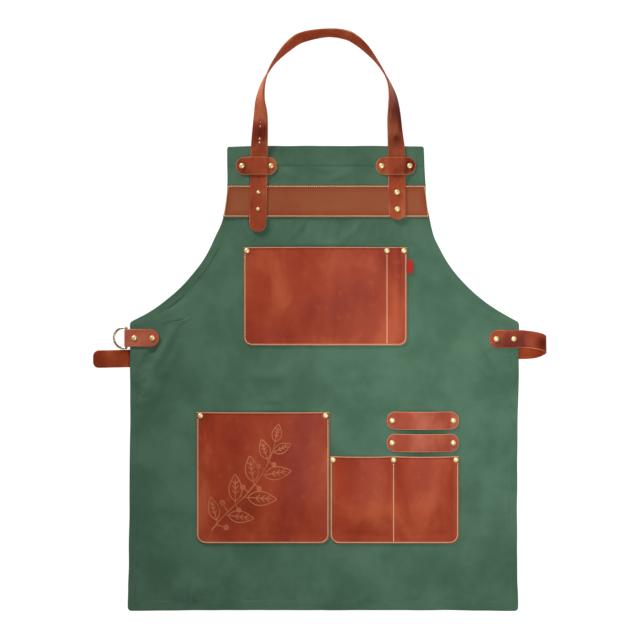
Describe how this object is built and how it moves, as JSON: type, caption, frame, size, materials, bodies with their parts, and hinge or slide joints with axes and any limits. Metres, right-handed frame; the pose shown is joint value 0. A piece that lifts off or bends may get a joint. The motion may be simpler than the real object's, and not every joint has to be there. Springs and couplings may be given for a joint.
{
  "type": "gardening apron",
  "caption": "Canvas and leather work apron laid flat, with riveted leather pockets, tool loops, a neck strap, a waist strap and a hinged metal ring.",
  "frame": {"origin": "middle of the whole outline seen from above, on the floor that the apron lies on", "axes": "+X to the right of the apron seen from the front, +Y from the bottom hem up to the neck strap, +Z out of its front face"},
  "size_m": [0.769, 0.984, 0.0292],
  "materials": {
    "canvas": "matte green cotton canvas with a visible weave",
    "pocket_leather": "red-brown pull-up leather, cloudy, satin, with lighter burnished edges",
    "band_leather": "smooth matte tan-brown leather",
    "strap_leather": "glossy red-brown grain outside, matte orange-brown flesh side inside",
    "rivet_brass": "pale polished brass",
    "ring_metal": "pale polished brass wire",
    "label_cloth": "plain red woven tab"
  },
  "bodies": {
    "apron": {"canvas_body": "canvas", "chest_band": "band_leather", "neck_strap": "strap_leather", "waist_strap": "strap_leather", "keeper_left": "strap_leather", "keeper_right": "strap_leather", "chest_pocket": "pocket_leather", "lower_left_pocket": "pocket_leather", "lower_right_pocket": "pocket_leather", "tool_loop_upper": "pocket_leather", "tool_loop_lower": "pocket_leather", "ring_tab": "pocket_leather", "pocket_label": "label_cloth", "keeper_left_rivet_a": "rivet_brass", "keeper_left_rivet_b": "rivet_brass", "keeper_right_rivet_a": "rivet_brass", "keeper_right_rivet_b": "rivet_brass", "neck_left_rivet_a": "rivet_brass", "neck_left_rivet_b": "rivet_brass", "neck_right_rivet_a": "rivet_brass", "neck_right_rivet_b": "rivet_brass", "chest_rivet_a": "rivet_brass", "chest_rivet_b": "rivet_brass", "chest_rivet_c": "rivet_brass", "left_pocket_rivet_a": "rivet_brass", "left_pocket_rivet_b": "rivet_brass", "right_pocket_rivet_a": "rivet_brass", "right_pocket_rivet_b": "rivet_brass", "right_pocket_rivet_c": "rivet_brass", "tool_loop_upper_rivet_a": "rivet_brass", "tool_loop_upper_rivet_b": "rivet_brass", "tool_loop_lower_rivet_a": "rivet_brass", "tool_loop_lower_rivet_b": "rivet_brass", "ring_tab_rivet_a": "rivet_brass", "ring_tab_rivet_b": "rivet_brass", "waist_rivet_a": "rivet_brass", "waist_rivet_b": "rivet_brass"},
    "ring": {"d_ring": "ring_metal"}
  },
  "joints": [
    {"name": "ring_hinge", "type": "hinge", "parent": "apron", "child": "ring", "pos_m": [-0.32649, -0.02897, 0.0051], "axis": [0, 1, 0], "range_deg": [0, 145]}
  ]
}
